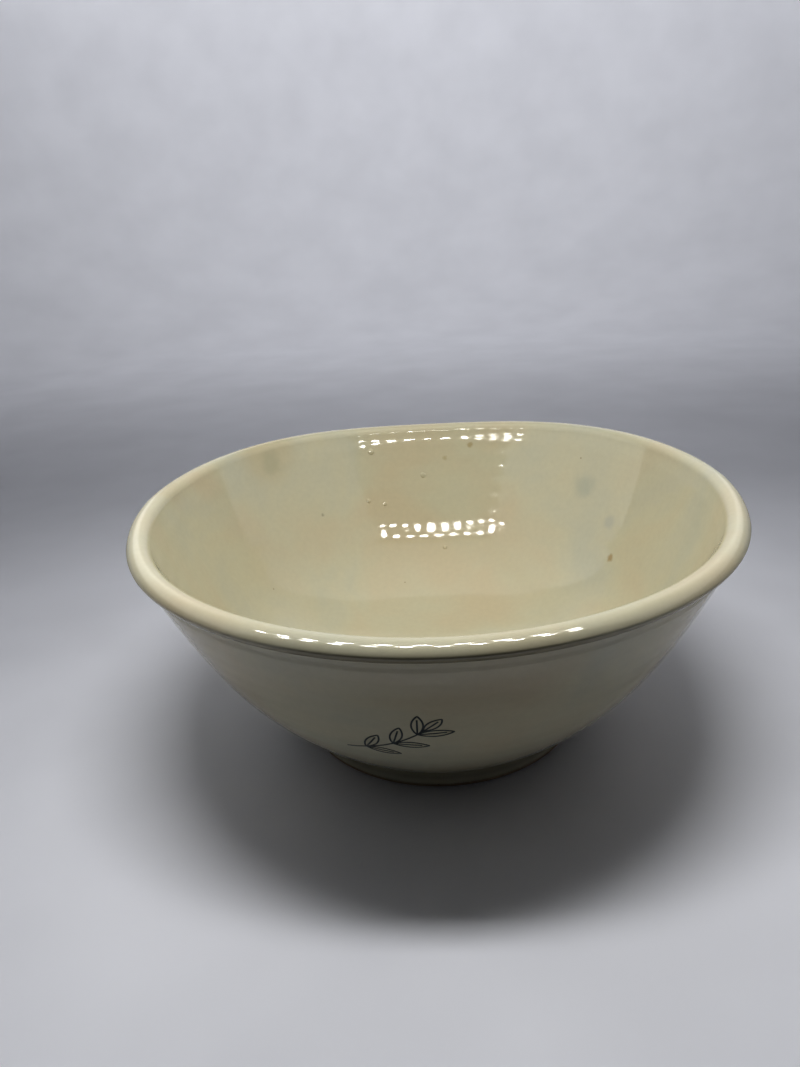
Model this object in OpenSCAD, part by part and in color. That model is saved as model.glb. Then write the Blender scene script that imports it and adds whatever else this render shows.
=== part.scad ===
// Shaving bowl: a glazed stoneware lather bowl with a rolled rim and a turned foot ring.
// Millimetres, +Z up. The origin lies on the bowl's axis, on the surface that its foot stands on,
// and -Y is the front, the side that carries the printed sprig.
// Every half section below is drawn with X as the radius and Y as the height, then turned about Z.

/* [Wall] */
// Height from the standing face to the top of the rim
bowl_height = 72; // [68:0.5:76]
// Radius of the outer wall at the shoulder, where the belly turns into the flare
shoulder_radius = 71; // [69:0.5:73]
// Height of the shoulder
shoulder_height = 38; // [36:0.5:40]
// Radius of the belly's curve, seen in section
belly_curve = 95.5; // [85:0.5:110]
// Radius of the flare's flatter curve, seen in section
flare_curve = 250; // [200:5:320]
// Thickness of the wall, glaze included
wall_thickness = 4.8; // [4:0.1:6]

/* [Rolled rim] */
// How far the rolled rim stands out past the wall behind it
rim_overhang = 1.5; // [1:0.1:2]
// Width of the roll, from the inside of the bowl to the outside
roll_width = 6.5; // [6.2:0.1:7]
// Height of the roll
roll_height = 5.4; // [4.8:0.1:5.6]
// Radius of the roll's inner and outer edges
roll_edge = 1.3; // [1.2:0.05:1.4]
// Depth of the turned neck below the roll
neck_depth = 0.25; // [0.2:0.05:0.8]
// Height of the neck, from its shoulder to the middle of the roll
neck_height = 6.2; // [5.5:0.1:7]

/* [Floor and foot] */
// Height of the inside floor at the bowl's centre
floor_height = 9.5; // [9:0.25:12]
// Radius of the gentle dish of the inside floor
floor_curve = 150; // [120:5:200]
// Radius of the curve that blends the floor into the wall
floor_blend = 45; // [40:1:50]
// Outer radius of the foot ring where it stands
foot_radius = 42.9; // [42:0.1:43.5]
// Radius at which the belly leaves the foot ring
foot_top_radius = 44.1; // [43.8:0.1:45]
// Height of the foot ring's outer face
foot_height = 6; // [5:0.25:7]
// Width of the foot ring where it stands
foot_width = 5.6; // [4.5:0.1:7]
// Rounding of the foot ring's two standing edges
foot_edge = 0.9; // [0.5:0.1:1.2]
// Depth of the recess turned out of the underside
recess_depth = 3.4; // [2.5:0.1:3.8]

/* [Glaze and print] */
// Thickness of the glass glaze
glaze_thickness = 0.4; // [0.3:0.05:0.6]
// Height of the bare clay band on the foot ring, where the glaze was wiped away for firing
bare_height = 1.2; // [1.2:0.1:2]
// Thickness of the printed ink
print_thickness = 0.1; // [0.08:0.01:0.15]
// Width of the sprig's drawn lines
line_width = 0.42; // [0.3:0.02:0.5]
// Turn of the sprig about the bowl's axis, from the front towards the right
sprig_turn = -8.3; // [-30:0.1:30]
// Height of the sprig's middle on the wall
sprig_height = 37.6; // [36:0.1:46]
// Length of the sprig's stem
stem_length = 24; // [20:0.5:26]

/* [Hidden] */
$fn = 180;
far = 700;                                         // longer than any stretch that is cut
recess_slope = 2.2;                                // how much the foot ring widens towards the floor
leaf_pairs = 3;
leaf_length = 8.4;
leaf_width = 2.7;
leaf_spread = 40;                                  // a leaf's angle from the stem
midrib_share = 0.8;                                // share of a leaf's length that its midrib runs
first_pair = -0.28;                                // place of the lowest pair, as a share of the stem
tip_share = 0.8;                                   // length of the tip leaf, as a share of the others
tip_lap = 0.4;                                     // how far the tip leaf runs back over the stem
wall_reach = [-4, 2];                              // depth and height, about the glaze, of a laid drawing
stem_curve = 42;                                   // radius that the stem is bent to
stem_lean = -58;                                   // the stem's mean direction, from upright
drawing_middle = [2.4, 4.1];                       // middle of the drawn sprig, from the stem's own middle

function unit(v) = v / norm(v);
// Centre of a circle of radius r through a and b, on the left of the way from a to b
function arc_centre(a, b, r) =
    let (d = b - a) (a + b) / 2 + unit([-d.y, d.x]) * sqrt(r * r - d * d / 4);
// The crossing of two circles, ra round a and rb round b, on the left of the way from a to b
function circles_meet(a, ra, b, rb) =
    let (d = norm(b - a), along = (ra * ra - rb * rb + d * d) / (2 * d), u = unit(b - a))
    a + u * along + [-u.y, u.x] * sqrt(ra * ra - along * along);

foot_top = [foot_top_radius, foot_height];
shoulder = [shoulder_radius, shoulder_height];
belly_centre = arc_centre(foot_top, shoulder, belly_curve);
flare_centre = shoulder + unit(belly_centre - shoulder) * flare_curve;
joint_angle = atan2(shoulder.y - belly_centre.y, shoulder.x - belly_centre.x);
roll_middle = bowl_height - roll_height / 2;
neck_start = roll_middle - neck_height;
function belly_radius(z, inset) = belly_centre.x + sqrt(pow(belly_curve - inset, 2) - pow(z - belly_centre.y, 2));
function flare_radius(z) = flare_centre.x + sqrt(pow(flare_curve, 2) - pow(z - flare_centre.y, 2));
roll_centre = [flare_radius(roll_middle) + rim_overhang - roll_width / 2, roll_middle];
// The blend lies inside both the belly's inner curve and the floor's curve and touches each
floor_centre = [0, floor_height + floor_curve];
belly_inner = belly_curve - wall_thickness;
blend_centre = circles_meet(floor_centre, floor_curve - floor_blend, belly_centre, belly_inner - floor_blend);

// A disc of the half section
module disc(centre, r) translate(centre) circle(r = r);

// Everything on one side of a line through a point: its left side, looking along the angle
module left_of(point, angle) translate(point) rotate(angle) translate([-far, 0]) square([2 * far, far]);

// The stretch of heights from a to b
module level(a, b) translate([0, a]) square([far, b - a]);

// The belly's and the flare's discs, which touch at the shoulder
module wall_discs(belly_r, flare_r) {
    disc(belly_centre, belly_r);
    intersection() {
        disc(flare_centre, flare_r);
        left_of(shoulder, joint_angle);
    }
}

// Everything inside the outer wall and the foot's outer face, pulled in by inset
module outer_mass(inset) {
    intersection() {
        wall_discs(belly_curve - inset, flare_curve - inset);
        level(foot_height, neck_start - inset);
    }
    intersection() {
        wall_discs(belly_curve - inset - neck_depth, flare_curve - inset - neck_depth);
        level(shoulder_height, roll_middle);
    }
    foot_block(inset);
}

// The foot's outer face and its rounded standing edge
module foot_block(inset) {
    difference() {
        polygon([[0, 0], [foot_radius - inset, 0], [foot_radius - inset, foot_edge],
                 [belly_radius(foot_height, inset), foot_height],
                 [foot_radius - foot_width, foot_height + 2], [0, foot_height + 2]]);
        translate([foot_radius - foot_edge - inset, 0]) square([far, foot_edge]);
    }
    disc([foot_radius - foot_edge - inset, foot_edge], foot_edge);
}

// The hollow that the lather is whipped in, opened out by inset
module hollow(inset) {
    wall_line = atan2(blend_centre.y - belly_centre.y, blend_centre.x - belly_centre.x);
    floor_line = atan2(blend_centre.y - floor_centre.y, blend_centre.x - floor_centre.x);
    intersection() {
        union() {
            // wall, above the line where the blend touches it
            intersection() {
                wall_discs(belly_inner + inset, flare_curve - wall_thickness + inset);
                left_of(blend_centre, wall_line);
            }
            // blend, which lies inside the wall's curve and the floor's curve and touches both
            disc(blend_centre, floor_blend + inset);
            // dished floor, and the open middle above it
            difference() {
                disc(floor_centre, floor_curve + inset);
                left_of(blend_centre, floor_line);
            }
        }
        level(0, bowl_height + 1);
    }
}

// The recess under the floor, inside the foot ring, opened out by inset
module recess(inset) {
    ring_inner = foot_radius - foot_width;
    difference() {
        polygon([[0, -1], [ring_inner + inset, -1], [ring_inner + inset, foot_edge],
                 [ring_inner - recess_slope + inset, recess_depth + inset], [0, recess_depth + inset]]);
        disc([ring_inner + inset + foot_edge, foot_edge], foot_edge);
    }
    difference() {
        translate([ring_inner + inset - 1, -1]) square([1 + foot_edge, 1 + foot_edge]);
        disc([ring_inner + inset + foot_edge, foot_edge], foot_edge);
    }
}

// A rounded oval drawn with four arcs, pulled in by inset
module roll(inset) {
    d = roll_width / 2 - roll_edge;
    rise = roll_height / 2 - roll_edge;
    drop = (d * d - rise * rise) / (2 * rise);     // from the oval's middle to a crown's centre
    crown = drop + roll_height / 2;
    reach = d * crown / norm([d, drop]);
    translate(roll_centre) {
        for (side = [-1, 1]) translate([side * d, 0]) circle(r = roll_edge - inset);
        intersection() {
            translate([0, -drop]) circle(r = crown - inset);
            translate([0, drop]) circle(r = crown - inset);
            translate([-reach, -roll_height]) square([2 * reach, 2 * roll_height]);
        }
    }
}

// The whole half section, pulled in by inset all round
module section(inset) {
    difference() {
        outer_mass(inset);
        hollow(inset);
        recess(inset);
    }
    roll(inset);
}

// The clay's half section: under the glaze, but full size on the bare standing ring
module clay_section() {
    section(glaze_thickness);
    intersection() {
        section(0);
        level(0, bare_height);
    }
}

// The half section of the glaze, inside and out
module glaze_section() {
    difference() {
        section(0);
        clay_section();
    }
}

// The space under the floor, as far out as the middle of the standing ring
module underside() square([foot_radius - foot_width / 2, recess_depth + 1.5]);

// A pointed leaf outline with its midrib, from the origin up along Y
module leaf(length, width, line) {
    sweep = (length * length + width * width) / (4 * width);
    difference() {
        leaf_shape(length, sweep - width / 2, sweep + line / 2);
        leaf_shape(length, sweep - width / 2, sweep - line / 2);
    }
    translate([-line / 2, 0]) square([line, length * midrib_share]);
}

// The overlap of two discs, which is a leaf
module leaf_shape(length, offset_x, r) {
    intersection() {
        translate([-offset_x, length / 2]) circle(r = r);
        translate([offset_x, length / 2]) circle(r = r);
    }
}

// The drawn sprig: a bent stem with pairs of leaves and one leaf at its tip
module sprig_drawing() {
    sweep = stem_length / stem_curve * 180 / PI;
    translate(-drawing_middle) rotate(stem_lean) translate([-stem_curve, 0]) {
        intersection() {
            difference() {
                circle(r = stem_curve + line_width / 2);
                circle(r = stem_curve - line_width / 2);
            }
            polygon([[0, 0], 2 * stem_curve * [cos(sweep / 2), -sin(sweep / 2)],
                     2 * stem_curve * [cos(sweep / 2), sin(sweep / 2)]]);
        }
        for (pair = [0 : leaf_pairs - 1], side = [-1, 1])
            rotate(sweep * (pair / leaf_pairs + first_pair)) translate([stem_curve, 0])
                rotate(side * leaf_spread) leaf(leaf_length, leaf_width, line_width);
        rotate(sweep / 2) translate([stem_curve, -tip_lap])
            leaf(leaf_length * tip_share, leaf_width, line_width);
    }
}

// Lays a drawing on the belly's outer face at the sprig's place, square to the wall
module on_the_wall(height, turn) {
    down = asin((belly_centre.y - height) / belly_curve);
    radius = belly_centre.x + belly_curve * cos(down);
    rotate([0, 0, turn]) translate([0, -radius, height]) rotate([90 + down, 0, 0])
        translate([0, 0, wall_reach[0]]) linear_extrude(height = wall_reach[1] - wall_reach[0]) children();
}

module stoneware_body() color("#b9a98a") rotate_extrude() clay_section();

module glaze_coat() color("#e2dcc4") rotate_extrude() difference() {
    glaze_section();
    underside();
}

module underside_glaze() color("#dcd5ba") rotate_extrude() intersection() {
    glaze_section();
    underside();
}

module printed_sprig() color("#26343a") intersection() {
    rotate_extrude() intersection() {
        difference() {
            wall_discs(belly_curve + print_thickness, flare_curve + print_thickness);
            wall_discs(belly_curve, flare_curve);
        }
        level(foot_height, neck_start);
    }
    on_the_wall(sprig_height, sprig_turn) sprig_drawing();
}

stoneware_body();
glaze_coat();
underside_glaze();
printed_sprig();
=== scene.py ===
"""A glazed stoneware shaving bowl on a pale studio floor.

The bowl is built as a potter builds it: a turned clay body, a skin of cream glaze over it, the same
glaze in the recess of the foot, and a small printed sprig fired onto the front. Shapes are worked out in
millimetres, +Z up, with the bowl's axis on Z and its front towards -Y, and are scaled to metres at the
end.
"""

import logging
import math
from dataclasses import dataclass, field
from enum import Enum, IntEnum

import bmesh
import bpy
from mathutils import Matrix, Vector, noise
from mathutils.bvhtree import BVHTree


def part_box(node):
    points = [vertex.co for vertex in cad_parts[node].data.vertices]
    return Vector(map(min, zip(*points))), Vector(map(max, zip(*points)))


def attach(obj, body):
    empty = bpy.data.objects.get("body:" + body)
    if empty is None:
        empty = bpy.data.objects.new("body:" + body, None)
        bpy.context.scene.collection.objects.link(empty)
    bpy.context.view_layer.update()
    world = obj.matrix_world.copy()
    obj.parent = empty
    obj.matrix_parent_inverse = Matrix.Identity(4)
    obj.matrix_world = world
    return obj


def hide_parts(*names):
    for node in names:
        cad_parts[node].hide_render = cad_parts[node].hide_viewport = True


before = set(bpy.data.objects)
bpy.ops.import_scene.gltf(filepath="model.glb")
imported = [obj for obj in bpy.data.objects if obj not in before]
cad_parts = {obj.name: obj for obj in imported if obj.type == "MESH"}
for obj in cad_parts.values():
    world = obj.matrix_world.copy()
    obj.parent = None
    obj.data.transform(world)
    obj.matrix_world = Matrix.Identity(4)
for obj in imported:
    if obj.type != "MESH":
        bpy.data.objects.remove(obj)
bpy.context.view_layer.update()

MM = 0.001                        # one millimetre in the frame's metres
BODY = "root"                     # the bowl is one rigid body
VIEW_GAMMA = 0.78                 # gives the view a phone camera's steeper contrast
LOG = logging.getLogger("shaving_bowl")


class Slot(Enum):
    """Names of the record's material slots for the bowl's pieces."""

    CLAY = "fired_clay"
    GLAZE = "cream_glaze"
    INK = "print_ink"


class MixSocket(IntEnum):
    """Socket numbers of a colour Mix node, whose names repeat for each data type."""

    FACTOR = 0
    A = 6
    B = 7
    RESULT = 2


# ---------------------------------------------------------------- materials


def colour(code: str) -> tuple[float, float, float, float]:
    """Turn an sRGB hex code into linear RGBA.

    Args:
        code: Six hex digits after a hash sign.

    Returns:
        Linear red, green and blue, and an alpha of 1.
    """
    channels = [int(code[i:i + 2], 16) / 255 for i in (1, 3, 5)]
    linear = [c / 12.92 if c <= 0.04045 else ((c + 0.055) / 1.055) ** 2.4 for c in channels]
    return (*linear, 1.0)


def per_metre(size_mm: float) -> float:
    """Give the texture scale whose pattern repeats about once in size_mm."""
    return 1.0 / (size_mm * MM)


def add_node(tree: bpy.types.NodeTree, kind: str, inputs: dict | None = None,
             stops: list | None = None, **settings) -> bpy.types.Node:
    """Add a node, set its properties, and fill or link its inputs.

    Args:
        tree: The node tree that gets the node.
        kind: The node's type name.
        inputs: Socket name or number to a value, or to another node's output, which is linked.
        stops: Colour ramp stops, as pairs of place and colour.
        **settings: Properties of the node itself.

    Returns:
        The new node.
    """
    node = tree.nodes.new(kind)
    for name, value in settings.items():
        setattr(node, name, value)
    for name, value in (inputs or {}).items():
        if isinstance(value, bpy.types.NodeSocket):
            tree.links.new(value, node.inputs[name])
        else:
            node.inputs[name].default_value = value
    if stops:
        ramp = node.color_ramp
        while len(ramp.elements) < len(stops):
            ramp.elements.new(1.0)
        for element, (place, shade) in zip(ramp.elements, stops):
            element.position = place
            element.color = shade
    return node


def empty_material(name: str) -> tuple[bpy.types.Material, bpy.types.NodeTree]:
    """Make a material with an empty node tree.

    Args:
        name: The material's name.

    Returns:
        The material and its node tree.
    """
    material = bpy.data.materials.new(name)
    material.use_nodes = True
    material.node_tree.nodes.clear()
    return material, material.node_tree


@dataclass(frozen=True)
class Mark:
    """A flaw in the glaze: a soft-edged spot at a place on the bowl."""

    place: tuple[float, float, float]      # mm
    radius: float                          # mm
    shade: str
    strength: float


@dataclass(frozen=True)
class PoolAndShade:
    """A level on the outside where the glaze is painted darker: glaze gathers there, and the darkening
    also stands in for shade. Sizes in mm.
    """

    height: float
    half: float                      # half the height of its full-strength band
    fade: float                      # height over which it fades out
    least_radius: float              # it lies outside this radius
    strength: float


@dataclass(frozen=True)
class CreamGlaze:
    """Cream feldspathic stoneware glaze, dipped and fired glossy.

    The eye sees a warm, slightly green ivory with a wet gloss. It runs darker where it gathers in a
    corner, and is painted darker as shade under the rim's tuck and at the foot. It carries iron specks,
    stains and a faint orange-peel surface.
    """

    cream: str = "#C9C4AB"
    warm: str = "#CAC0A5"
    cool: str = "#C3C1AD"
    # dark tone of gathered glaze, used also as painted shade under the rim's tuck and at the foot
    pooled_and_shaded: str = "#968F76"
    iron: str = "#7A5A35"
    mottle_mm: float = 38.0
    grain_mm: float = 1.6            # fine grain in the tone
    smudge_mm: float = 14.0          # patches of slightly duller gloss
    peel_mm: float = 3.4             # orange peel, drawn as coarse as it needs to show
    peel_depth: float = 0.02         # mm
    swell_mm: float = 15.3           # slow swelling of the coat
    swell_depth: float = 0.14        # mm
    speck_mm: float = 11.0           # spacing of the cells that may hold a speck
    speck_rarity: float = 0.83       # share of the cells that hold none
    speck_strength: float = 0.55
    roughness: float = 0.04
    ior: float = 1.52
    marks: tuple[Mark, ...] = ()
    # painted shade: the band under the rim's tuck and the band at the foot, where glaze also gathers
    pools_and_shade: tuple[PoolAndShade, ...] = (PoolAndShade(66.4, 0.7, 1.2, 81.5, 0.95), PoolAndShade(5.4, 1.2, 2.2, 41.5, 0.75))

    def material(self) -> bpy.types.Material:
        """Build the glaze's node material.

        Returns:
            The glaze.
        """
        material, tree = empty_material("cream_stoneware_glaze")
        where = add_node(tree, "ShaderNodeTexCoord").outputs["Object"]
        shade = self._mottling(tree, where)
        # painted shade under the rim and at the foot, with gathered glaze
        shade = self._pooling_and_shade(tree, where, shade)
        shade = self._iron_specks(tree, where, shade)
        for mark in self.marks:
            shade = self._marked(tree, where, shade, mark)
        smudge = add_node(tree, "ShaderNodeTexNoise",
                          {"Vector": where, "Scale": per_metre(self.smudge_mm), "Detail": 4.0,
                           "Roughness": 0.6})
        rough = add_node(tree, "ShaderNodeMapRange",
                         {0: smudge.outputs[0], 1: 0.35, 2: 0.75,
                          3: self.roughness * 0.8, 4: self.roughness * 1.9})
        shader = add_node(tree, "ShaderNodeBsdfPrincipled",
                          {"Base Color": shade, "Roughness": rough.outputs[0], "IOR": self.ior,
                           "Normal": self._surface(tree, where)})
        add_node(tree, "ShaderNodeOutputMaterial", {"Surface": shader.outputs[0]})
        return material

    def _mottling(self, tree: bpy.types.NodeTree, where: bpy.types.NodeSocket) -> bpy.types.NodeSocket:
        """Drift between warm and cool cream, as an uneven coat does.

        Args:
            tree: The glaze's node tree.
            where: The object coordinates.

        Returns:
            The coat's tone.
        """
        drift = add_node(tree, "ShaderNodeTexNoise",
                         {"Vector": where, "Scale": per_metre(self.mottle_mm), "Detail": 3.0,
                          "Roughness": 0.5, "Distortion": 0.4})
        ramp = add_node(tree, "ShaderNodeValToRGB", {0: drift.outputs[0]},
                        stops=[(0.32, colour(self.cool)), (0.5, colour(self.cream)),
                               (0.68, colour(self.warm))])
        grain = add_node(tree, "ShaderNodeTexNoise",
                         {"Vector": where, "Scale": per_metre(self.grain_mm), "Detail": 2.0})
        soft = add_node(tree, "ShaderNodeMapRange", {0: grain.outputs[0], 3: 0.955, 4: 1.03})
        tint = add_node(tree, "ShaderNodeMix",
                        {MixSocket.FACTOR: 1.0, MixSocket.A: ramp.outputs[0],
                         MixSocket.B: soft.outputs[0]}, data_type="RGBA", blend_type="MULTIPLY")
        return tint.outputs[MixSocket.RESULT]

    def _pooling_and_shade(self, tree: bpy.types.NodeTree, where: bpy.types.NodeSocket,
                 shade: bpy.types.NodeSocket) -> bpy.types.NodeSocket:
        """Darken the glaze in bands where it gathers in the corners of the outside, as painted shade under
        the rim's tuck and at the foot.

        Args:
            tree: The glaze's node tree.
            where: The object coordinates.
            shade: The tone so far.

        Returns:
            The tone with the painted shade and the gathered glaze in it.
        """
        split = add_node(tree, "ShaderNodeSeparateXYZ", {0: where})
        flat = add_node(tree, "ShaderNodeCombineXYZ", {0: split.outputs[0], 1: split.outputs[1]})
        radius = add_node(tree, "ShaderNodeVectorMath", {0: flat.outputs[0]}, operation="LENGTH")
        # each band is painted shade as well as gathered glaze
        for pool_and_shade in self.pools_and_shade:
            above = add_node(tree, "ShaderNodeMath", {0: split.outputs[2], 1: pool_and_shade.height * MM},
                             operation="SUBTRACT")
            away = add_node(tree, "ShaderNodeMath", {0: above.outputs[0]}, operation="ABSOLUTE")
            near = add_node(tree, "ShaderNodeMapRange",
                            {0: away.outputs[0], 1: pool_and_shade.half * MM, 2: (pool_and_shade.half + pool_and_shade.fade) * MM,
                             3: pool_and_shade.strength, 4: 0.0}, interpolation_type="SMOOTHSTEP")
            outside = add_node(tree, "ShaderNodeMath",
                               {0: radius.outputs["Value"], 1: pool_and_shade.least_radius * MM},
                               operation="GREATER_THAN")
            both = add_node(tree, "ShaderNodeMath", {0: near.outputs[0], 1: outside.outputs[0]},
                            operation="MULTIPLY")
            mix = add_node(tree, "ShaderNodeMix",
                           {MixSocket.FACTOR: both.outputs[0], MixSocket.A: shade,
                            MixSocket.B: colour(self.pooled_and_shaded)}, data_type="RGBA")
            shade = mix.outputs[MixSocket.RESULT]
        return shade

    def _iron_specks(self, tree: bpy.types.NodeTree, where: bpy.types.NodeSocket,
                     shade: bpy.types.NodeSocket) -> bpy.types.NodeSocket:
        """Scatter small iron specks, kept to about one cell in six.

        Args:
            tree: The glaze's node tree.
            where: The object coordinates.
            shade: The tone so far.

        Returns:
            The tone with the specks in it.
        """
        cells = add_node(tree, "ShaderNodeTexVoronoi",
                         {"Vector": where, "Scale": per_metre(self.speck_mm)})
        dot = add_node(tree, "ShaderNodeMapRange",
                       {0: cells.outputs["Distance"], 1: 0.018, 2: 0.034, 3: 1.0, 4: 0.0})
        pick = add_node(tree, "ShaderNodeSeparateColor", {0: cells.outputs["Color"]})
        few = add_node(tree, "ShaderNodeMath", {0: pick.outputs[0], 1: self.speck_rarity},
                       operation="GREATER_THAN")
        both = add_node(tree, "ShaderNodeMath", {0: dot.outputs[0], 1: few.outputs[0]},
                        operation="MULTIPLY")
        some = add_node(tree, "ShaderNodeMath", {0: both.outputs[0], 1: self.speck_strength},
                        operation="MULTIPLY")
        mix = add_node(tree, "ShaderNodeMix",
                       {MixSocket.FACTOR: some.outputs[0], MixSocket.A: shade,
                        MixSocket.B: colour(self.iron)}, data_type="RGBA")
        return mix.outputs[MixSocket.RESULT]

    def _marked(self, tree: bpy.types.NodeTree, where: bpy.types.NodeSocket, shade: bpy.types.NodeSocket,
                mark: Mark) -> bpy.types.NodeSocket:
        """Stain one soft-edged, uneven spot.

        Args:
            tree: The glaze's node tree.
            where: The object coordinates.
            shade: The tone so far.
            mark: The spot.

        Returns:
            The tone with the spot in it.
        """
        wobble = add_node(tree, "ShaderNodeTexNoise",
                          {"Vector": where, "Scale": per_metre(mark.radius), "Detail": 3.0})
        gap = add_node(tree, "ShaderNodeVectorMath",
                       {0: where, 1: [c * MM for c in mark.place]}, operation="DISTANCE")
        uneven = add_node(tree, "ShaderNodeMath",
                          {0: wobble.outputs[0], 1: -mark.radius * MM * 1.1, 2: gap.outputs["Value"]},
                          operation="MULTIPLY_ADD")
        spot = add_node(tree, "ShaderNodeMapRange",
                        {0: uneven.outputs[0], 1: -mark.radius * MM * 0.3, 2: mark.radius * MM * 0.55,
                         3: mark.strength, 4: 0.0}, interpolation_type="SMOOTHSTEP")
        mix = add_node(tree, "ShaderNodeMix",
                       {MixSocket.FACTOR: spot.outputs[0], MixSocket.A: shade,
                        MixSocket.B: colour(mark.shade)}, data_type="RGBA")
        return mix.outputs[MixSocket.RESULT]

    def _surface(self, tree: bpy.types.NodeTree, where: bpy.types.NodeSocket) -> bpy.types.NodeSocket:
        """Ripple the gloss with slow swells and orange peel.

        Args:
            tree: The glaze's node tree.
            where: The object coordinates.

        Returns:
            The rippled normal.
        """
        peel = add_node(tree, "ShaderNodeTexNoise",
                        {"Vector": where, "Scale": per_metre(self.peel_mm), "Detail": 2.0,
                         "Roughness": 0.45})
        broad = add_node(tree, "ShaderNodeTexNoise",
                         {"Vector": where, "Scale": per_metre(self.swell_mm), "Detail": 1.0})
        first = add_node(tree, "ShaderNodeBump",
                         {"Height": broad.outputs[0], "Strength": 0.5, "Distance": self.swell_depth * MM})
        second = add_node(tree, "ShaderNodeBump",
                          {"Height": peel.outputs[0], "Strength": 0.3, "Distance": self.peel_depth * MM,
                           "Normal": first.outputs[0]})
        return second.outputs[0]


@dataclass(frozen=True)
class BareStoneware:
    """Unglazed stoneware, turned and fired: a dry buff clay with sandy grit and iron flecks."""

    buff: str = "#B39E7C"
    toasted: str = "#927655"
    grit: str = "#5E4C38"
    grit_mm: float = 0.9
    roughness: float = 0.78

    def material(self) -> bpy.types.Material:
        """Build the bare clay's node material.

        Returns:
            The bare clay.
        """
        material, tree = empty_material("bare_fired_stoneware")
        where = add_node(tree, "ShaderNodeTexCoord").outputs["Object"]
        flame = add_node(tree, "ShaderNodeTexNoise",
                         {"Vector": where, "Scale": per_metre(22.0), "Detail": 4.0})
        base = add_node(tree, "ShaderNodeValToRGB", {0: flame.outputs[0]},
                        stops=[(0.35, colour(self.buff)), (0.7, colour(self.toasted))])
        cells = add_node(tree, "ShaderNodeTexVoronoi",
                         {"Vector": where, "Scale": per_metre(self.grit_mm * 2)})
        fleck = add_node(tree, "ShaderNodeMapRange",
                         {0: cells.outputs["Distance"], 1: 0.08, 2: 0.22, 3: 0.8, 4: 0.0})
        mix = add_node(tree, "ShaderNodeMix",
                       {MixSocket.FACTOR: fleck.outputs[0], MixSocket.A: base.outputs[0],
                        MixSocket.B: colour(self.grit)}, data_type="RGBA")
        sand = add_node(tree, "ShaderNodeTexNoise",
                        {"Vector": where, "Scale": per_metre(self.grit_mm), "Detail": 5.0})
        bump = add_node(tree, "ShaderNodeBump",
                        {"Height": sand.outputs[0], "Strength": 0.6, "Distance": 0.12 * MM})
        shader = add_node(tree, "ShaderNodeBsdfPrincipled",
                          {"Base Color": mix.outputs[MixSocket.RESULT], "Roughness": self.roughness,
                           "IOR": 1.5, "Normal": bump.outputs[0]})
        add_node(tree, "ShaderNodeOutputMaterial", {"Surface": shader.outputs[0]})
        return material


@dataclass(frozen=True)
class FiredPrint:
    """Cobalt-black ceramic line print, fired onto the glaze: thin, glassy and a little patchy."""

    ink: str = "#1F2A30"
    worn: str = "#4A5658"
    patch_mm: float = 1.4
    roughness: float = 0.3

    def material(self) -> bpy.types.Material:
        """Build the print's node material.

        Returns:
            The ink.
        """
        material, tree = empty_material("cobalt_black_ceramic_print")
        where = add_node(tree, "ShaderNodeTexCoord").outputs["Object"]
        patch = add_node(tree, "ShaderNodeTexNoise",
                         {"Vector": where, "Scale": per_metre(self.patch_mm), "Detail": 3.0})
        shade = add_node(tree, "ShaderNodeValToRGB", {0: patch.outputs[0]},
                         stops=[(0.5, colour(self.ink)), (0.72, colour(self.worn))])
        shader = add_node(tree, "ShaderNodeBsdfPrincipled",
                          {"Base Color": shade.outputs[0], "Roughness": self.roughness, "IOR": 1.5})
        add_node(tree, "ShaderNodeOutputMaterial", {"Surface": shader.outputs[0]})
        return material


@dataclass(frozen=True)
class StudioPaper:
    """Seamless pale background paper: matt, nearly white, with a faint fibre tone."""

    sheet: str = "#ECEDF2"
    shaded: str = "#E6E7EC"
    roughness: float = 0.9

    def material(self) -> bpy.types.Material:
        """Build the paper's node material.

        Returns:
            The paper.
        """
        material, tree = empty_material("pale_studio_paper")
        where = add_node(tree, "ShaderNodeTexCoord").outputs["Object"]
        cloud = add_node(tree, "ShaderNodeTexNoise", {"Vector": where, "Scale": per_metre(60.0)})
        shade = add_node(tree, "ShaderNodeValToRGB", {0: cloud.outputs[0]},
                         stops=[(0.3, colour(self.shaded)), (0.7, colour(self.sheet))])
        shader = add_node(tree, "ShaderNodeBsdfPrincipled",
                          {"Base Color": shade.outputs[0], "Roughness": self.roughness,
                           "Specular IOR Level": 0.2})
        add_node(tree, "ShaderNodeOutputMaterial", {"Surface": shader.outputs[0]})
        return material


@dataclass(frozen=True)
class BlackFelt:
    """The cloth of a studio's black flag: it swallows light and gives a dark, soft reflection."""

    nap: str = "#0B0B0C"
    lint: str = "#161618"

    def material(self) -> bpy.types.Material:
        """Build the felt's node material.

        Returns:
            The felt.
        """
        material, tree = empty_material("black_felt")
        where = add_node(tree, "ShaderNodeTexCoord").outputs["Object"]
        fuzz = add_node(tree, "ShaderNodeTexNoise", {"Vector": where, "Scale": per_metre(2.0)})
        shade = add_node(tree, "ShaderNodeValToRGB", {0: fuzz.outputs[0]},
                         stops=[(0.4, colour(self.nap)), (0.7, colour(self.lint))])
        shader = add_node(tree, "ShaderNodeBsdfPrincipled",
                          {"Base Color": shade.outputs[0], "Roughness": 1.0, "Specular IOR Level": 0.0})
        add_node(tree, "ShaderNodeOutputMaterial", {"Surface": shader.outputs[0]})
        return material


# ---------------------------------------------------------------- turned shapes


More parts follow.
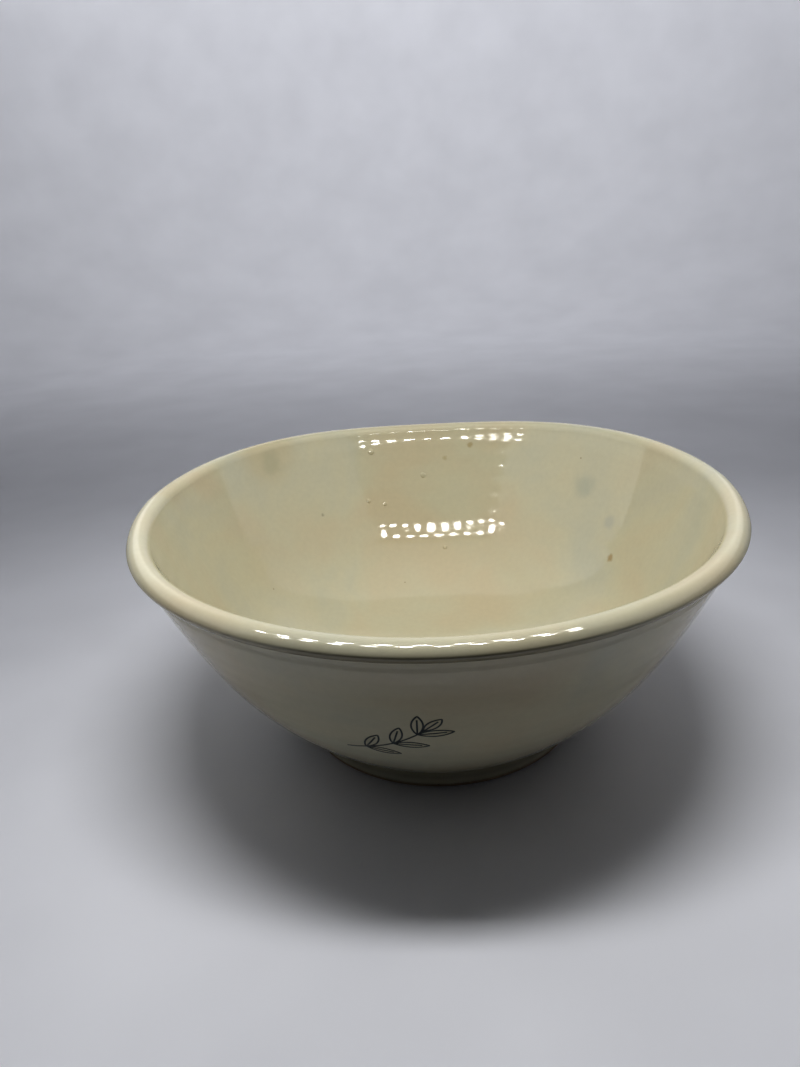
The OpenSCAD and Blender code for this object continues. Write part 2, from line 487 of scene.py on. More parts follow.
def circles_meet(a: Vector, ra: float, b: Vector, rb: float) -> Vector:
    """Find where two circles of the half section cross, on the left of the way from a to b.

    Args:
        a: Centre of the first circle.
        ra: Its radius.
        b: Centre of the second circle.
        rb: Its radius.

    Returns:
        The crossing point.
    """
    gap = (b - a).length
    along = (ra * ra - rb * rb + gap * gap) / (2 * gap)
    way = (b - a).normalized()
    return a + way * along + Vector((-way.y, way.x)) * math.sqrt(ra * ra - along * along)


def share_of(steps: int, fineness: float) -> int:
    """Give a share of a full number of steps, and at least two."""
    return max(2, round(steps * fineness))


def bearing(centre: Vector, point: Vector) -> float:
    """Give the angle from a centre to a point of the half section, in radians."""
    return math.atan2(point.y - centre.y, point.x - centre.x)


class TurningTemplate:
    """A half section drawn as a wire with spins and extrusions, X the radius and Z the height."""

    def __init__(self, start: Vector) -> None:
        """Set the pencil down at a point, given as radius and height.

        Args:
            start: The point, as radius and height.
        """
        self.bm = bmesh.new()
        self.tip = self.bm.verts.new((start.x, 0.0, start.y))
        self.first = self.tip
        self.corners: list[tuple[bmesh.types.BMVert, float]] = []

    def line_to(self, end: Vector, steps: int = 1) -> None:
        """Draw a straight stretch to a point in equal steps.

        Args:
            end: Where the stretch ends.
            steps: Number of steps.
        """
        start = self.tip.co.copy()
        goal = Vector((end.x, 0.0, end.y))
        for i in range(steps):
            self.tip = bmesh.ops.extrude_vert_indiv(self.bm, verts=[self.tip])["verts"][0]
            self.tip.co = start.lerp(goal, (i + 1) / steps)

    def arc_to(self, centre: Vector, end: float, steps: int) -> None:
        """Draw an arc round a centre to a bearing in radians, the short way round.

        Args:
            centre: The arc's centre.
            end: Bearing of its end from the centre.
            steps: Number of steps.
        """
        start = bearing(centre, Vector((self.tip.co.x, self.tip.co.z)))
        turn = (end - start + math.pi) % (2 * math.pi) - math.pi
        made = bmesh.ops.spin(self.bm, geom=[self.tip], cent=(centre.x, 0.0, centre.y),
                              axis=(0.0, -1.0, 0.0), dvec=(0.0, 0.0, 0.0), angle=turn,
                              steps=max(1, steps), use_merge=False, use_normal_flip=False,
                              use_duplicate=False)
        self.tip = next(g for g in made["geom_last"] if isinstance(g, bmesh.types.BMVert))

    def back_to_start(self) -> None:
        """Put the pencil back on the first point, to draw the other way from it."""
        self.tip = self.first

    def corner(self, rounding: float) -> None:
        """Mark the pencil's place as a corner that is rounded by so many mm."""
        self.corners.append((self.tip, rounding))

    def turned(self, steps: int) -> bmesh.types.BMesh:
        """Round the marked corners and turn the wire about the axis into a closed shape.

        Args:
            steps: Number of steps in the full turn.

        Returns:
            The turned mesh, in mm.
        """
        for vert, rounding in self.corners:
            bmesh.ops.bevel(self.bm, geom=[vert], offset=rounding, offset_type="OFFSET",
                            segments=4, profile=0.5, affect="VERTICES", material=-1)
        bmesh.ops.spin(self.bm, geom=self.bm.verts[:] + self.bm.edges[:], cent=(0.0, 0.0, 0.0),
                       axis=(0.0, 0.0, 1.0), dvec=(0.0, 0.0, 0.0), angle=2 * math.pi, steps=steps,
                       use_merge=True, use_normal_flip=False, use_duplicate=False)
        bmesh.ops.remove_doubles(self.bm, verts=self.bm.verts[:], dist=1e-4)
        bmesh.ops.recalc_face_normals(self.bm, faces=self.bm.faces[:])
        return self.bm


@dataclass(frozen=True)
class BowlSection:
    """The bowl's half section, as the potter's template cuts it. All sizes are in mm."""

    height: float
    rim_radius: float
    shoulder: Vector = field(default_factory=lambda: Vector((71.0, 38.0)))
    foot_top: Vector = field(default_factory=lambda: Vector((44.1, 6.0)))
    belly_curve: float = 95.5
    flare_curve: float = 250.0
    wall: float = 4.8
    roll_width: float = 6.5
    roll_height: float = 5.4
    roll_edge: float = 1.3
    neck_depth: float = 0.25
    neck_height: float = 6.2
    neck_shelf: float = 1.4
    floor_height: float = 9.5
    floor_curve: float = 150.0
    floor_blend: float = 45.0
    foot_radius: float = 42.9
    foot_width: float = 5.6
    foot_edge: float = 0.9
    recess_depth: float = 3.4
    recess_slope: float = 2.2
    bare_height: float = 1.2
    glaze: float = 0.4
    foot_corner: float = 0.8         # roundings of the corners that the glaze runs over
    neck_corner: float = 0.2
    tuck_corner: float = 0.28
    recess_corner: float = 0.9
    glaze_lip: float = 0.16

    @property
    def belly_centre(self) -> Vector:
        """Centre of the belly's arc, found from the foot, the shoulder and its radius.

        Returns:
            The centre, as radius and height.
        """
        chord = self.shoulder - self.foot_top
        left = Vector((-chord.y, chord.x)).normalized()
        back = math.sqrt(self.belly_curve ** 2 - chord.length_squared / 4)
        return (self.shoulder + self.foot_top) / 2 + left * back

    @property
    def flare_centre(self) -> Vector:
        """Centre of the flare's arc, which leaves the belly smoothly at the shoulder."""
        return self.shoulder + (self.belly_centre - self.shoulder).normalized() * self.flare_curve

    @property
    def floor_centre(self) -> Vector:
        """Centre of the dished floor's arc, on the axis."""
        return Vector((0.0, self.floor_height + self.floor_curve))

    @property
    def blend_centre(self) -> Vector:
        """Centre of the arc that joins the floor to the inside of the wall."""
        return circles_meet(self.floor_centre, self.floor_curve - self.floor_blend,
                            self.belly_centre, self.belly_curve - self.wall - self.floor_blend)

    @property
    def roll_centre(self) -> Vector:
        """Middle of the rolled rim."""
        return Vector((self.rim_radius - self.roll_width / 2, self.height - self.roll_height / 2))

    def outer_radius(self, z: float, inset: float, centre: Vector, curve: float) -> float:
        """Give the radius of one of the outer arcs at a height, pulled in by inset."""
        return centre.x + math.sqrt((curve - inset) ** 2 - (z - centre.y) ** 2)

    def foot_face(self, inset: float) -> Vector:
        """Give the point on the foot's outer face where the glaze stops, pulled in by inset.

        Args:
            inset: How far it lies under the glazed surface.

        Returns:
            The point, as radius and height.
        """
        share = (self.bare_height - self.foot_edge) / (self.foot_top.y - self.foot_edge)
        return Vector((self.foot_radius + (self.foot_top.x - self.foot_radius) * share - inset,
                       self.bare_height))

    def recess_face(self, inset: float) -> Vector:
        """Give the point on the foot's inner face where the glaze stops, pulled in by inset.

        Args:
            inset: How far it lies under the glazed surface.

        Returns:
            The point, as radius and height.
        """
        share = (self.bare_height - self.foot_edge) / (self.recess_depth - self.foot_edge)
        inner = self.foot_radius - self.foot_width
        return Vector((inner - self.recess_slope * share + inset, self.bare_height))

    def draw_outside_and_in(self, pen: TurningTemplate, inset: float, fineness: float) -> None:
        """Draw from the foot's outer face up the wall, over the rim and down to the floor's middle.

        Args:
            pen: The template, with its pencil on the foot's outer face.
            inset: How far the line runs under the glazed surface.
            fineness: Share of the full number of steps that each stretch gets.
        """
        belly, flare, roll = self.belly_centre, self.flare_centre, self.roll_centre
        reach = self.roll_width / 2 - self.roll_edge
        rise = self.roll_height / 2 - self.roll_edge
        drop = (reach ** 2 - rise ** 2) / (2 * rise)
        crown = drop + self.roll_height / 2 - inset
        tilt = math.atan2(drop, reach)
        neck_z = roll.y - self.neck_height - inset
        neck_curve = self.flare_curve - inset - self.neck_depth
        under_crown = roll + Vector((0.0, drop))
        tuck = circles_meet(under_crown, crown, flare, neck_curve)

        foot_z = self.foot_top.y
        foot_top = Vector((self.outer_radius(foot_z, inset, belly, self.belly_curve), foot_z))
        pen.line_to(foot_top, share_of(5, fineness))
        pen.corner(self.foot_corner)
        pen.arc_to(belly, bearing(belly, self.shoulder), share_of(34, fineness))
        neck_bearing = math.asin((neck_z - flare.y) / (self.flare_curve - inset))
        pen.arc_to(flare, neck_bearing, share_of(20, fineness))
        pen.corner(self.neck_corner)
        shelf = neck_z + self.neck_shelf
        pen.line_to(Vector((self.outer_radius(shelf, 0.0, flare, neck_curve), shelf)))
        pen.corner(self.neck_corner)
        pen.arc_to(flare, bearing(flare, tuck), share_of(5, fineness))
        pen.corner(self.tuck_corner)
        pen.arc_to(under_crown, -tilt, share_of(5, fineness))
        pen.arc_to(roll + Vector((reach, 0.0)), tilt, share_of(12, fineness))
        pen.arc_to(roll - Vector((0.0, drop)), math.pi - tilt, share_of(12, fineness))
        inner_edge = roll - Vector((reach, 0.0))
        pen.arc_to(inner_edge, bearing(inner_edge, flare), share_of(6, fineness))
        pen.arc_to(flare, bearing(belly, self.shoulder), share_of(20, fineness))
        pen.arc_to(belly, bearing(belly, self.blend_centre), share_of(8, fineness))
        pen.arc_to(self.blend_centre, bearing(self.floor_centre, self.blend_centre),
                   share_of(24, fineness))
        pen.arc_to(self.floor_centre, -math.pi / 2, share_of(18, fineness))

    def draw_recess(self, pen: TurningTemplate, inset: float, fineness: float) -> None:
        """Draw from the axis under the floor out to the foot's inner face, where the glaze stops.

        Args:
            pen: The template, with its pencil on the axis in the recess.
            inset: How far the line runs under the glazed surface.
            fineness: Share of the full number of steps that each stretch gets.
        """
        flat_end = self.foot_radius - self.foot_width - self.recess_slope + inset
        pen.line_to(Vector((flat_end, self.recess_depth + inset)), share_of(12, fineness))
        pen.corner(self.recess_corner)
        pen.line_to(self.recess_face(inset), 2)


@dataclass
class HandOfThePotter:
    """The unevenness of a bowl thrown by hand, drawn as smooth moves of its surface. Sizes in mm."""

    height: float
    rim_middle: float                # radius of the middle of the rolled rim
    front_dip: float = 1.1           # how far the whole front of the rim lies below its highest places
    back_sag: float = 2.3            # how far the rim sags in the middle of the back
    front_sag: float = 1.2           # how far it sags further in the middle of the front
    squareness: float = 0.9          # how far the rim bulges out between the front, the back and the sides
    wall_lean: float = 0.36          # how far the wall leans out for each mm of height, near the rim
    lip_flare: float = 0.15          # how far the inside opens out further, just under the roll
    lip_rise: float = 2.8            # height over which it does so
    lip_top: float = 3.6             # depth of the end of that flare below the rim's top
    lip_fade: float = 2.0            # depth below the rim's top over which the flare fades out again
    ring_depth: float = 0.035        # throwing rings, from crest to middle
    ring_pitch: float = 5.2
    wander: float = 0.22             # slow wandering of the wall
    wander_size: float = 55.0
    still_height: float = 8.0        # the foot, below this height, stays true
    still_radius: float = 30.0       # the wandering fades out inside this radius

    def rim_dip(self, turn: float) -> float:
        """Give how far the rim lies below its highest place at a bearing in radians.

        Args:
            turn: The bearing.

        Returns:
            The depth in mm.
        """
        front = min(1.0, max(0.0, (-math.sin(turn) + 0.1) / 0.6))
        sag = math.sin(turn) ** 6
        if math.sin(turn) > 0:
            return self.back_sag * sag
        return self.front_dip * front * front * (3 - 2 * front) + self.front_sag * sag

    def shaped(self, point: Vector) -> Vector:
        """Move one point of the turned shape to where the hand left it.

        Args:
            point: A point of the true turned shape.

        Returns:
            The point on the uneven bowl.
        """
        turn = math.atan2(point.y, point.x)
        radius = math.hypot(point.x, point.y)
        up = min(1.0, max(0.0, (point.z - self.still_height) / (self.height - self.still_height)))
        rings = math.sin(2 * math.pi * point.z / self.ring_pitch + turn) - 1.0
        drift = noise.noise(point / self.wander_size) - 0.5
        flared = 0.0
        if radius < self.rim_middle:
            below = self.height - self.lip_top - point.z
            flared = self.lip_flare * min(1.0, max(0.0, 1.0 - below / self.lip_rise))
            flared *= min(1.0, max(0.0, (self.height - point.z) / self.lip_fade))
        bulge = self.squareness * up * up * (0.5 - 0.5 * math.cos(4 * turn))
        lower = self.rim_dip(turn) * up ** 3
        waves = up * (self.ring_depth * rings + self.wander * drift)
        out = bulge + flared - lower * self.wall_lean + waves * min(1.0, radius / self.still_radius)
        scale = 1.0 + out / radius if radius > 1.0 else 1.0
        return Vector((point.x * scale, point.y * scale, point.z - lower))

    def shape(self, bm: bmesh.types.BMesh) -> None:
        """Move every point of a mesh to where the hand left it."""
        for vert in bm.verts:
            vert.co = self.shaped(vert.co)


def finished(bm: bmesh.types.BMesh, name: str, material: bpy.types.Material,
             crease: float = 60.0) -> bpy.types.Object:
    """Scale a mesh from mm to metres, smooth its shading and make it an object at the origin.

    Args:
        bm: The mesh in mm. It is freed.
        name: The piece's name.
        material: The piece's finish.
        crease: Angle in degrees past which an edge stays crisp.

    Returns:
        The finished object.
    """
    bmesh.ops.scale(bm, vec=(MM, MM, MM), verts=bm.verts[:])
    mesh = bpy.data.meshes.new(name)
    bm.to_mesh(mesh)
    bm.free()
    mesh.polygons.foreach_set("use_smooth", [True] * len(mesh.polygons))
    mesh.set_sharp_from_angle(angle=math.radians(crease))
    mesh.materials.append(material)
    piece = bpy.data.objects.new(name, mesh)
    bpy.context.scene.collection.objects.link(piece)
    return piece


def declare(piece: bpy.types.Object, node: str) -> None:
    """Attach a piece to the body it rides on, hide the CAD node that it stands for, and log it.

    Args:
        piece: The finished piece.
        node: The CAD node that it stands for.
    """
    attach(piece, BODY)
    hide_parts(node)
    LOG.info("%s: %d faces, stands for %s", piece.name, len(piece.data.polygons), node)


@dataclass
class GlazedBowl:
    """The clay body with the two pieces of glaze that cover it."""

    section: BowlSection
    hand: HandOfThePotter
    turn_steps: int = 288
    hidden_fineness: float = 0.45
    glaze_surface: BVHTree | None = None

    def build(self, glaze: bpy.types.Material, clay: bpy.types.Material) -> None:
        """Build the clay, the outer glaze and the underside's glaze.

        Args:
            glaze: The glaze's finish.
            clay: The clay's finish.
        """
        self._clay(clay)
        self._coat(glaze)
        self._underside(glaze)

    def _clay(self, material: bpy.types.Material) -> None:
        """Turn the clay body: inset under the glaze, full size on the bare standing ring.

        Args:
            material: The piece's finish.
        """
        s = self.section
        inner = s.foot_radius - s.foot_width
        edge = s.foot_edge
        pen = TurningTemplate(Vector((0.0, s.recess_depth + s.glaze)))
        s.draw_recess(pen, s.glaze, self.hidden_fineness)
        pen.line_to(s.recess_face(0.0))
        pen.line_to(Vector((inner, edge)))
        pen.arc_to(Vector((inner + edge, edge)), -math.pi / 2, 6)
        pen.line_to(Vector((s.foot_radius - edge, 0.0)), 4)
        pen.arc_to(Vector((s.foot_radius - edge, edge)), 0.0, 6)
        pen.line_to(s.foot_face(0.0))
        pen.line_to(s.foot_face(s.glaze))
        s.draw_outside_and_in(pen, s.glaze, self.hidden_fineness)
        bm = pen.turned(self.turn_steps)
        self.hand.shape(bm)
        declare(finished(bm, "turned_clay_body", material, crease=40.0), "stoneware_body")

    def _coat(self, material: bpy.types.Material) -> None:
        """Turn the glaze that covers the inside, the rim and the outside.

        Args:
            material: The piece's finish.
        """
        s = self.section
        pen = TurningTemplate(s.foot_face(0.0))
        s.draw_outside_and_in(pen, 0.0, 1.0)
        pen.back_to_start()
        pen.corner(s.glaze_lip)
        pen.line_to(s.foot_face(s.glaze))
        s.draw_outside_and_in(pen, s.glaze, self.hidden_fineness)
        bm = pen.turned(self.turn_steps)
        self.hand.shape(bm)
        self.glaze_surface = BVHTree.FromBMesh(bm)
        declare(finished(bm, "cream_glaze_coat", material), "glaze_coat")

    def _underside(self, material: bpy.types.Material) -> None:
        """Turn the glaze in the recess of the foot.

        Args:
            material: The piece's finish.
        """
        s = self.section
        pen = TurningTemplate(Vector((0.0, s.recess_depth)))
        s.draw_recess(pen, 0.0, 1.0)
        pen.corner(s.glaze_lip)
        pen.line_to(s.recess_face(s.glaze))
        pen.back_to_start()
        pen.line_to(Vector((0.0, s.recess_depth + s.glaze)))
        s.draw_recess(pen, s.glaze, self.hidden_fineness)
        bm = pen.turned(self.turn_steps)
        self.hand.shape(bm)
        declare(finished(bm, "underside_glaze_disc", material), "underside_glaze")


@dataclass(frozen=True)
class Bead:
    """A small bump of glaze on the inside wall."""

    turn: float                      # degrees from +X
    height: float                    # mm
    radius: float                    # mm
    swell: float                     # mm that it stands proud


@dataclass
class GlazeBeads:
    """Drops and blisters that stand proud of the glaze inside the bowl."""

    surface: BVHTree
    beads: tuple[Bead, ...] = (Bead(106.9, 62.1, 1.1, 0.34), Bead(92.3, 52.2, 1.0, 0.3),
                               Bead(110.1, 45.3, 0.9, 0.3), Bead(105.2, 43.5, 0.8, 0.28),
                               Bead(85.9, 27.8, 0.8, 0.3))

    def build(self, glaze: bpy.types.Material) -> None:
        """Set every bead into the glaze, square to the wall.

        Args:
            glaze: The glaze's finish.
        """
        bm = bmesh.new()
        for bead in self.beads:
            way = Vector((math.cos(math.radians(bead.turn)), math.sin(math.radians(bead.turn)), 0.0))
            hit, normal, _, _ = self.surface.ray_cast(Vector((0.0, 0.0, bead.height)), way)
            if normal.dot(way) > 0:
                normal.negate()
            made = bmesh.ops.create_uvsphere(bm, u_segments=24, v_segments=12, radius=1.0)["verts"]
            place = (Matrix.Translation(hit) @ normal.to_track_quat("Z", "Y").to_matrix().to_4x4()
                     @ Matrix.Diagonal((bead.radius, bead.radius, bead.swell, 1.0)))
            bmesh.ops.transform(bm, matrix=place, verts=made)
        declare(finished(bm, "glaze_beads", glaze), "glaze_coat")


@dataclass
class LeafSprig:
    """A line-drawn sprig printed on the front of the belly. Sizes in mm."""

    section: BowlSection
    surface: BVHTree
    height: float = 37.6
    turn: float = -8.3               # degrees about Z, from the front
    line: float = 0.42
    stem_length: float = 24.0
    stem_curve: float = 42.0
    lean: float = -58.0
    leaf_pairs: int = 3
    leaf_length: float = 8.4
    leaf_width: float = 2.7
    leaf_spread: float = 40.0
    middle: tuple[float, float] = (2.4, 4.1)
    midrib_share: float = 0.8        # share of a leaf's length that its midrib runs
    first_pair: float = -0.28        # place of the lowest pair, as a share of the stem
    tip_share: float = 0.8           # length of the tip leaf, as a share of the others
    tip_lap: float = 0.4             # how far the tip leaf runs back over the stem
    step: float = 0.45               # length of a line's straight steps
    rib_curve: float = 400.0         # so wide that a midrib is straight
    ink_depth: float = 0.05          # how far the ink stands out of the glaze

    def build(self, ink: bpy.types.Material) -> None:
        """Draw the sprig flat, lay it on the wall and give the ink its thickness.

        Args:
            ink: The ink's finish.
        """
        bm = bmesh.new()
        self._draw(bm)
        self._lay_on_wall(bm)
        bmesh.ops.recalc_face_normals(bm, faces=bm.faces[:])
        outward = Vector((math.sin(math.radians(self.turn)), -math.cos(math.radians(self.turn)), 0.0))
        wrong = [f for f in bm.faces if f.normal.dot(outward) < 0]
        bmesh.ops.reverse_faces(bm, faces=wrong)
        bmesh.ops.solidify(bm, geom=bm.faces[:], thickness=2 * self.ink_depth)
        bmesh.ops.recalc_face_normals(bm, faces=bm.faces[:])
        declare(finished(bm, "leaf_sprig_print", ink), "printed_sprig")

    def _stroke(self, bm: bmesh.types.BMesh, place: Matrix, centre: Vector, radius: float,
                start: float, sweep: float) -> None:
        """Draw one curved line as a ribbon, by spinning a short edge across it.

        Args:
            bm: The drawing.
            place: Where the line's own frame lies in the drawing.
            centre: Centre of the curve in that frame.
            radius: Radius of the curve.
            start: Bearing of its start, in radians.
            sweep: Angle that it turns through, in radians.
        """
        way = Vector((math.cos(start), math.sin(start), 0.0))
        ends = [bm.verts.new(centre + way * (radius + side * self.line / 2)) for side in (-1, 1)]
        edge = bm.edges.new(ends)
        steps = max(4, round(abs(sweep) * radius / self.step))
        before = set(bm.verts) - set(ends)
        bmesh.ops.spin(bm, geom=[*ends, edge], cent=centre, axis=(0.0, 0.0, 1.0), dvec=(0.0, 0.0, 0.0),
                       angle=sweep, steps=steps, use_merge=False, use_normal_flip=False,
                       use_duplicate=False)
        bmesh.ops.transform(bm, matrix=place, verts=[v for v in bm.verts if v not in before])

    def _leaf(self, bm: bmesh.types.BMesh, place: Matrix, length: float) -> None:
        """Draw a pointed leaf with its midrib, growing along Y from its own origin.

        Args:
            bm: The drawing.
            place: Where the leaf's own frame lies.
            length: Its length.
        """
        curve = (length ** 2 + self.leaf_width ** 2) / (4 * self.leaf_width)
        half = math.asin(length / 2 / curve)
        for side in (-1, 1):
            centre = Vector((-side * (curve - self.leaf_width / 2), length / 2, 0.0))
            facing = 0.0 if side > 0 else math.pi
            self._stroke(bm, place, centre, curve, facing - half, 2 * half)
        rib = self.rib_curve
        self._stroke(bm, place, Vector((-rib, 0.0, 0.0)), rib, 0.0, length * self.midrib_share / rib)

    def _draw(self, bm: bmesh.types.BMesh) -> None:
        """Draw the bent stem, the pairs of leaves and the leaf at the tip.

        Args:
            bm: The empty drawing.
        """
        sweep = self.stem_length / self.stem_curve
        stem = (Matrix.Translation((-self.middle[0], -self.middle[1], 0.0))
                @ Matrix.Rotation(math.radians(self.lean), 4, "Z")
                @ Matrix.Translation((-self.stem_curve, 0.0, 0.0)))
        self._stroke(bm, stem, Vector((0.0, 0.0, 0.0)), self.stem_curve, -sweep / 2, sweep)
        out = Matrix.Translation((self.stem_curve, 0.0, 0.0))
        for pair in range(self.leaf_pairs):
            along = Matrix.Rotation(sweep * (pair / self.leaf_pairs + self.first_pair), 4, "Z")
            for side in (-1, 1):
                spread = Matrix.Rotation(math.radians(side * self.leaf_spread), 4, "Z")
                self._leaf(bm, stem @ along @ out @ spread, self.leaf_length)
        tip = Matrix.Translation((self.stem_curve, -self.tip_lap, 0.0))
        self._leaf(bm, stem @ Matrix.Rotation(sweep / 2, 4, "Z") @ tip,
                   self.leaf_length * self.tip_share)

    def _lay_on_wall(self, bm: bmesh.types.BMesh) -> None:
        """Drop every point of the flat drawing onto the glaze, square to the wall.

        Args:
            bm: The drawing.
        """
        s = self.section
        down = math.asin((s.belly_centre.y - self.height) / s.belly_curve)
        radius = s.belly_centre.x + s.belly_curve * math.cos(down)
        place = (Matrix.Rotation(math.radians(self.turn), 4, "Z")
                 @ Matrix.Translation((0.0, -radius, self.height))
                 @ Matrix.Rotation(math.pi / 2 + down, 4, "X"))
        outward = (place.to_3x3() @ Vector((0.0, 0.0, 1.0))).normalized()
        for vert in bm.verts:
            start = place @ vert.co + outward * 5.0
            hit, _, _, _ = self.surface.ray_cast(start, -outward)
            vert.co = hit + outward * self.ink_depth


# ---------------------------------------------------------------- studio


@dataclass(frozen=True)
class Panel:
    """A flat rectangular light. Place and sizes in mm, power in watts."""

    name: str
    place: tuple[float, float, float]
    facing: tuple[float, float, float]
    width: float
    depth: float
    power: float
    spread: float = 180.0            # degrees
    mirrored: bool = True            # whether its reflection shows in the glaze
    lighting: bool = True            # whether it lights matt surfaces


@dataclass
class Studio:
    """The floor that sweeps up into a wall all round, the lights and the camera. Sizes in mm."""

    sweep_start: float = 700.0
    sweep_curve: float = 350.0
    wall_top: float = 1100.0
    lamp_height: float = 168.0
    lamp_rows: tuple[float, ...] = (-66.0, -86.0)
    lamp_left: float = -97.0
    lamp_pitch: float = 18.0
    lamps_in_row: int = 10
    lamp_size: float = 9.0
    lamp_power: float = 0.011
    lamp_spread: float = 170.0
    panels: tuple[Panel, ...] = (
        Panel("key_panel", (-5.0, -54.0, 420.0), (0.0, 0.0, -1.0), 240.0, 50.0, 0.47, 120.0, False),
        Panel("overhead_panel", (0.0, 16.0, 226.0), (0.0, 0.0, -1.0), 225.0, 190.0, 0.085),
        Panel("left_panel", (-114.0, 0.0, 158.0), (1.0, 0.0, -0.1), 220.0, 130.0, 0.075),
        Panel("right_panel", (114.0, 0.0, 158.0), (-1.0, 0.0, -0.1), 220.0, 130.0, 0.05),
        Panel("backdrop_wash", (0.0, 450.0, 700.0), (0.0, 1.0, -0.35), 900.0, 300.0, 4.1),
        Panel("high_panel", (0.0, 60.0, 900.0), (0.0, 0.0, -1.0), 700.0, 500.0, 0.16),
    )
    room_light: float = 0.018
    flag_place: float = -157.0
    flag_width: float = 240.0
    flag_height: float = 165.0
    camera_place: tuple[float, float, float] = (0.0, -219.902, 150.07)
    lens: float = 27.03
    sensor: float = 36.0
    pitch: float = 22.585            # degrees that the camera looks down
    yaw: float = -2.573
    roll: float = -3.432

    def build(self) -> None:
        """Build the backdrop, the lamps and the camera."""
        self._backdrop(StudioPaper().material())
        self._flag(BlackFelt().material())
        self._lamps()
        self._world()
        self._camera()

    def _backdrop(self, paper: bpy.types.Material) -> None:
        """Turn one seamless floor and wall, far enough out for a camera on any side.

        Args:
            paper: The paper's finish.
        """
        pen = TurningTemplate(Vector((0.0, 0.0)))
        pen.line_to(Vector((self.sweep_start, 0.0)), 8)
        pen.arc_to(Vector((self.sweep_start, self.sweep_curve)), 0.0, 16)
        pen.line_to(Vector((self.sweep_start + self.sweep_curve, self.wall_top)), 4)
        bm = pen.turned(96)
        if bm.faces[0].normal.z < 0:
            bmesh.ops.reverse_faces(bm, faces=bm.faces[:])
        finished(bm, "studio_floor", paper)

    def _flag(self, felt: bpy.types.Material) -> None:
        """Stand a black flag in front of the bowl, to keep stray light off its near side.

        Args:
            felt: The felt's finish.
        """
        bm = bmesh.new()
        bmesh.ops.create_grid(bm, x_segments=1, y_segments=1, size=0.5)
        place = (Matrix.Translation((0.0, self.flag_place, self.flag_height / 2 + 1.0))
                 @ Matrix.Rotation(math.pi / 2, 4, "X")
                 @ Matrix.Diagonal((self.flag_width, self.flag_height, 1.0, 1.0)))
        bmesh.ops.transform(bm, matrix=place, verts=bm.verts[:])
        flag = finished(bm, "black_flag", felt)
        flag.visible_camera = False
        flag.visible_shadow = False

    def _lamps(self) -> None:
        """Hang two staggered rows of small lamps over the front of the bowl, and the soft panels."""
        for row, y in enumerate(self.lamp_rows):
            for i in range(self.lamps_in_row):
                x = self.lamp_left + self.lamp_pitch * (i + 0.5 * row)
                self._light(Panel("bead_lamp", (x, y, self.lamp_height), (0.0, 0.0, -1.0),
                                  self.lamp_size, self.lamp_size, self.lamp_power,
                                  spread=self.lamp_spread, lighting=False), "DISK")
        for panel in self.panels:
            self._light(panel, "RECTANGLE")

    def _light(self, panel: Panel, shape: str) -> None:
        """Add one area light that isn't seen by the camera itself.

        Args:
            panel: The light.
            shape: Blender's name for its shape.
        """
        lamp = bpy.data.lights.new(panel.name, "AREA")
        lamp.shape = shape
        lamp.size = panel.width * MM
        if shape == "RECTANGLE":
            lamp.size_y = panel.depth * MM
        lamp.energy = panel.power
        lamp.spread = math.radians(panel.spread)
        holder = bpy.data.objects.new(panel.name, lamp)
        holder.rotation_euler = Vector(panel.facing).to_track_quat("-Z", "Y").to_euler()
        holder.location = [c * MM for c in panel.place]
        holder.visible_camera = False
        holder.visible_glossy = panel.mirrored
        holder.visible_diffuse = panel.lighting
        bpy.context.scene.collection.objects.link(holder)

    def _world(self) -> None:
        """Fill the room with a weak even light."""
        world = bpy.data.worlds.new("studio_air")
        world.use_nodes = True
        world.node_tree.nodes["Background"].inputs[0].default_value = colour("#E8ECF2")
        world.node_tree.nodes["Background"].inputs[1].default_value = self.room_light
        bpy.context.scene.world = world

    def _camera(self) -> None:
        """Set the camera above and in front of the bowl, looking down over the near rim."""
        pitch, yaw, roll = (math.radians(a) for a in (self.pitch, self.yaw, self.roll))
        ahead = Vector((math.sin(yaw) * math.cos(pitch), math.cos(yaw) * math.cos(pitch),
                        -math.sin(pitch)))
        level = Vector((math.cos(yaw), -math.sin(yaw), 0.0))
        upright = level.cross(ahead)
        right = math.cos(roll) * level + math.sin(roll) * upright
        up = math.cos(roll) * upright - math.sin(roll) * level
        data = bpy.data.cameras.new("studio_camera")
        data.sensor_width = self.sensor
        data.lens = self.lens
        data.clip_start = 0.01
        camera = bpy.data.objects.new("studio_camera", data)
        turn = Matrix((right, up, -ahead)).transposed().to_4x4()
        place = Vector(self.camera_place) * MM
        camera.matrix_world = Matrix.Translation(place) @ turn
        bpy.context.scene.collection.objects.link(camera)
        bpy.context.scene.camera = camera


# Stains and blisters on the inside, each a place, a radius, a shade and a strength
GLAZE_MARKS = (
    Mark((58.7, 25.9, 35.6), 1.7, "#9C7C48", 0.6),
    Mark((15.4, 75.4, 62.5), 1.5, "#A28C58", 0.5),
    Mark((5.7, 74.9, 57.9), 1.2, "#A29160", 0.4),
    Mark((53.6, 49.6, 53.1), 5.5, "#9FA59A", 0.35),
    Mark((59.9, 34.7, 45.0), 3.2, "#9EA3A3", 0.3),
    Mark((-56.7, 53.9, 65.6), 6.0, "#9DA596", 0.4),
    Mark((-40.5, 55.6, 44.1), 0.8, "#7C7668", 0.5),
    Mark((-62.0, 56.0, 71.0), 17.0, "#C2AC7A", 0.3),
    Mark((-84.0, 12.0, 71.0), 12.0, "#C4AF80", 0.3),
)


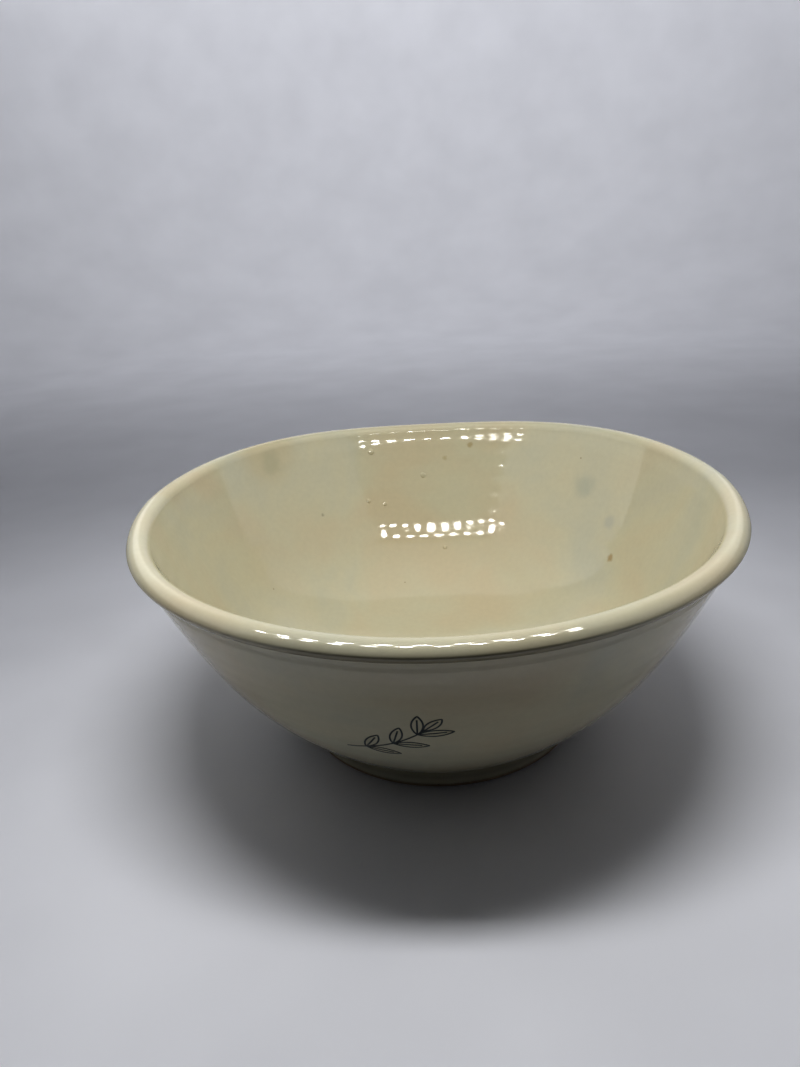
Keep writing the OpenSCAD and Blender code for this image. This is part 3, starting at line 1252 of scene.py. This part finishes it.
def main() -> None:
    """Build the studio and the bowl, piece by piece."""
    logging.basicConfig(level=logging.INFO, format="%(message)s")
    bpy.context.scene.view_settings.view_transform = "Standard"
    bpy.context.scene.view_settings.gamma = VIEW_GAMMA
    coat_low, coat_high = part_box("glaze_coat")
    section = BowlSection(height=coat_high[2] / MM, rim_radius=(coat_high[0] - coat_low[0]) / 2 / MM)
    Studio().build()
    glaze = CreamGlaze(marks=GLAZE_MARKS).material()
    clay = BareStoneware().material()
    ink = FiredPrint().material()
    bowl = GlazedBowl(section, HandOfThePotter(section.height, section.roll_centre.x))
    bowl.build(glaze, clay)
    GlazeBeads(bowl.glaze_surface).build(glaze)
    LeafSprig(section, bowl.glaze_surface).build(ink)


if __name__ == "__main__":
    main()
